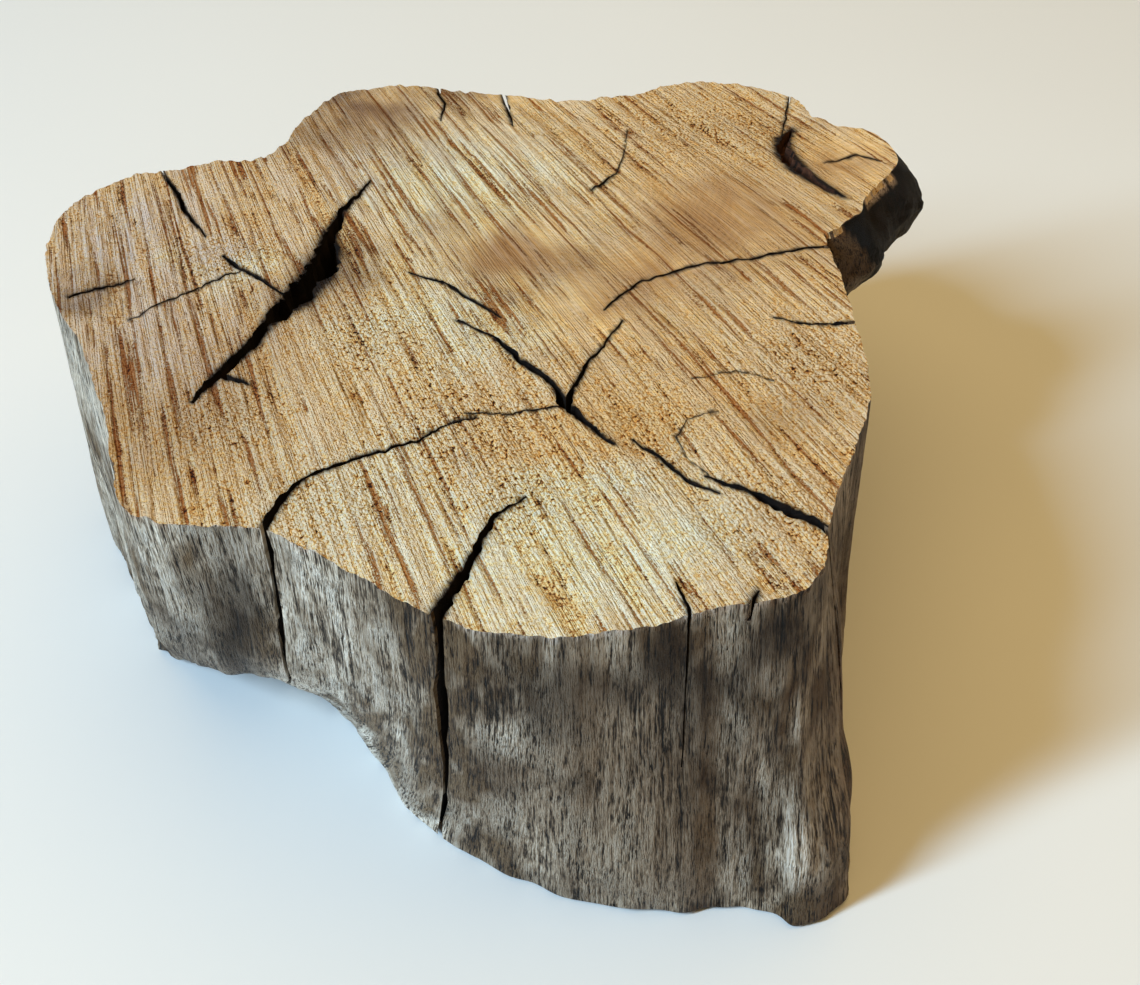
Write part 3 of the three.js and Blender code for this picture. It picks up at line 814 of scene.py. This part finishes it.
# The grooves' brown is partly their torn fibres and partly painted shade
GROOVE_BROWN_AND_SHADE = "#BC8A56"
RING_SPACING = 2.6
RING_TONE = 0.05
STAIN = "#1A0C04"
sawn, tree = material("chainsawn_maple_end_grain")
m = wood_patterns(
    tree,
    [
        ("speck", "grain", (0.6, 0.6, 0.6), 3.0),
        ("line", "saw", (0.5, 24, 4), 2.0),
        ("groove", "saw", (2.1, 66, 8), 3.0),
        ("band", "saw", (7, 80, 6), 2.0),
        ("blotch", "grain", (8, 8, 8), 3.0),
    ],
)
crumb_scale = (1 / (CRUMB_SIZE * MM),) * 3
crumb_place = node(tree, "ShaderNodeMapping", {"Vector": m["grain"], "Scale": crumb_scale}).outputs["Vector"]
crumb = node(tree, "ShaderNodeTexVoronoi", {"Vector": crumb_place, "Scale": 1.0}).outputs["Distance"]
crumb_share = patterns_mixed(tree, 0.24, (m["crumbs"], 0.54, 0))
crumb_depth = patterns_mixed(tree, 0, (crumb, 1.0, 0.46))
crumbled = node(tree, "ShaderNodeMath", {0: crumb_depth, 1: crumb_share}, operation="MULTIPLY").outputs[0]
rough = node(tree, "ShaderNodeMath", {0: 1.0, 1: m["smooth"]}, operation="SUBTRACT").outputs[0]
# Painted highlight and shade: crumbs lighter in the middle and darker between, hollows of the relief darker
rough_part = patterns_mixed(
    tree,
    0.075,
    (m["speck"], 0.85, MIDDLE),
    (m["band"], 0.6, MIDDLE),
    (m["blotch"], 0.4, MIDDLE),
    (crumbled, -1.35, 0),
    (m["relief"], 0.1, 0),
    (m["crumbs"], 0.07, 0),
)
rough_lift = node(tree, "ShaderNodeMath", {0: rough_part, 1: rough}, operation="MULTIPLY").outputs[0]
calm_part = patterns_mixed(tree, 0, (m["line"], 1.2, MIDDLE), (m["speck"], 0.5, MIDDLE))
calm_share = patterns_mixed(tree, 0.4, (m["smooth"], 0.5, 0))
calm_lift = node(tree, "ShaderNodeMath", {0: calm_part, 1: calm_share}, operation="MULTIPLY").outputs[0]
ridge = patterns_mixed(
    tree,
    0,
    (m["groove"], 1.0, 0),
    (m["speck"], 0.3, MIDDLE),
    (m["relief"], 0.06, 0),
    (m["crumbs"], 0.07, 0),
    (m["smooth"], 0.05, 0),
)
# The grooves are brown torn fibres, painted darker still as their shade
groove_range = {"From Min": GROOVES_TO, "From Max": GROOVES_FROM, "To Min": 1.0, "To Max": 0.0}
groove = node(tree, "ShaderNodeMapRange", {"Value": ridge, **groove_range}).outputs[0]
grooved = node(tree, "ShaderNodeMath", {0: groove, 1: 0.85}, operation="MULTIPLY").outputs[0]
lift = patterns_mixed(tree, 0.62, (rough_lift, 1.7, 0), (calm_lift, 1.1, 0), (grooved, -0.24, 0))
coarse = patterns_mixed(
    tree, 0, (crumbled, -2.0, 0), (m["groove"], 4.0, 0), (m["band"], 1.5, 0), (m["speck"], 0.9, 0)
)
coarse_part = node(tree, "ShaderNodeMath", {0: coarse, 1: rough}, operation="MULTIPLY").outputs[0]
height = patterns_mixed(tree, 0, (coarse_part, 1.0, 0), (m["line"], 0.6, 0), (grooved, -0.5, 0))
tone = node(
    tree,
    "ShaderNodeValToRGB",
    {"Fac": lift},
    stops=(
        (0.04, "#2E180A"),
        (0.8, "#FFFAE2"),
        (0.14, "#8A5426"),
        (0.27, "#DCA862"),
        (0.4, "#FFE29C"),
        (0.56, "#FFF0BA"),
    ),
).outputs["Color"]
groove_tint = {0: grooved, 6: colour("#FFFFFF"), 7: colour(GROOVE_BROWN_AND_SHADE)}
brown = node(tree, "ShaderNodeMix", groove_tint, data_type="RGBA").outputs[2]
turn = {0: m["rings"], 1: 2 * math.pi / RING_SPACING}
ring_turn = node(tree, "ShaderNodeMath", turn, operation="MULTIPLY").outputs[0]
ring_line = node(tree, "ShaderNodeMath", {0: ring_turn}, operation="SINE").outputs[0]
ring_tone = patterns_mixed(tree, 1 - RING_TONE, (ring_line, RING_TONE, 0))
for layer in (brown, m["tint"], ring_tone):
    both = {0: 1.0, 6: tone, 7: layer}
    tone = node(tree, "ShaderNodeMix", both, data_type="RGBA", blend_type="MULTIPLY").outputs[2]
stain_over = {0: m["stain"], 6: tone, 7: colour(STAIN)}
stained = node(tree, "ShaderNodeMix", stain_over, data_type="RGBA").outputs[2]
matt_wood(tree, stained, 0.7, height, 1.3)

# Barkless maple weathered outdoors for years and never finished. Rain has washed the soft wood out between
# the fibres, so silver fibres and flakes stand over brown grooves, with a slight dry shine. Fibres are about
# 1 mm. Single wood fibres are far too fine to show, so the hairs stand for them at 0.45 mm.
WASHED_ZONES = ((0.4, "#8C7B66"), (0.58, "#FFFFFF"))
weathered, tree = material("weathered_barkless_maple")
m = wood_patterns(
    tree,
    [
        ("hair", "grain", (0.45, 0.45, 4.5), 2.0),
        ("fibre", "grain", (0.9, 0.9, 18), 3.0),
        ("strand", "grain", (2.6, 2.6, 40), 3.0),
        ("blotch", "grain", (10, 10, 17), 5.0),
        ("zone", "grain", (26, 26, 50), 3.0),
    ],
)
FLAKES_FROM, FLAKES_TO = 0.5, 0.6
flake_range = {"Value": m["blotch"], "From Min": FLAKES_FROM, "From Max": FLAKES_TO}
flaking = node(tree, "ShaderNodeMapRange", flake_range).outputs[0]
flake = patterns_mixed(tree, 0, (m["hair"], 1.0, MIDDLE))
flakes = node(tree, "ShaderNodeMath", {0: flake, 1: flaking}, operation="MULTIPLY").outputs[0]
# The relief adds painted shade here, darker in the splits and pits of the fibres
lift = patterns_mixed(
    tree,
    0.58,
    (flakes, 2.2, 0),
    (m["hair"], 1.3, MIDDLE),
    (m["fibre"], 1.5, MIDDLE),
    (m["strand"], 1.0, MIDDLE),
    (m["blotch"], 1.0, MIDDLE),
    (m["relief"], 0.16, 0),
)
tone = node(
    tree,
    "ShaderNodeValToRGB",
    {"Fac": lift},
    stops=((0.1, "#16110C"), (0.74, "#FFFFFE"), (0.26, "#5C5248"), (0.42, "#B4AA9E"), (0.58, "#EEE8DF")),
).outputs["Color"]
washed = node(tree, "ShaderNodeValToRGB", {"Fac": m["zone"]}, stops=WASHED_ZONES).outputs["Color"]
for layer in (washed, m["tint"]):
    both = {0: 1.0, 6: tone, 7: layer}
    tone = node(tree, "ShaderNodeMix", both, data_type="RGBA", blend_type="MULTIPLY").outputs[2]
matt_wood(tree, tone, 0.62, lift, 1.0)

# Decayed wood and bark inside the cracks and the seams between the stems. It is soft, crumbling and quite
# matt. The cracks are painted nearly black: dark decayed wood, with painted shade deep in them. The seam of
# bark by the stub is red brown. Crumbs are about 2 mm.
ROT_AND_SHADE = ((0.3, "#050302"), (0.8, "#24140A"))
BARK = ((0.35, "#1C0E08"), (0.75, "#6A402A"))
inside, tree = material("crack_shade_decay_and_bark")
m = wood_patterns(tree, [("crumble", "grain", (2.2, 2.2, 6), 4.0)])
rot_and_shade_tone = node(tree, "ShaderNodeValToRGB", {"Fac": m["crumble"]}, stops=ROT_AND_SHADE).outputs["Color"]
bark_tone = node(tree, "ShaderNodeValToRGB", {"Fac": m["crumble"]}, stops=BARK).outputs["Color"]
either = node(tree, "ShaderNodeMix", {0: m["bark"], 6: rot_and_shade_tone, 7: bark_tone}, data_type="RGBA").outputs[2]
matt_wood(tree, either, 0.95, m["crumble"], 0.8)

# The base: an older saw cut that has stood on the ground, grey and dirty, with marks 3 mm apart
OLD_CUT = ((0.3, "#4E4236"), (0.75, "#8C7C69"))
base_cut, tree = material("old_saw_cut")
m = wood_patterns(tree, [("old", "saw", (3, 40, 3), 3.0)])
old_tone = node(tree, "ShaderNodeValToRGB", {"Fac": m["old"]}, stops=OLD_CUT).outputs["Color"]
matt_wood(tree, old_tone, 0.85, m["old"], 0.3)

log.data.materials.clear()
for finish in (sawn, weathered, inside, base_cut):
    log.data.materials.append(finish)
log.data.polygons.foreach_set("material_index", kind.astype(np.int32))
log.data.shade_smooth()
log.data.set_sharp_from_angle(angle=math.radians(50))

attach(log, "root")
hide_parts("log")
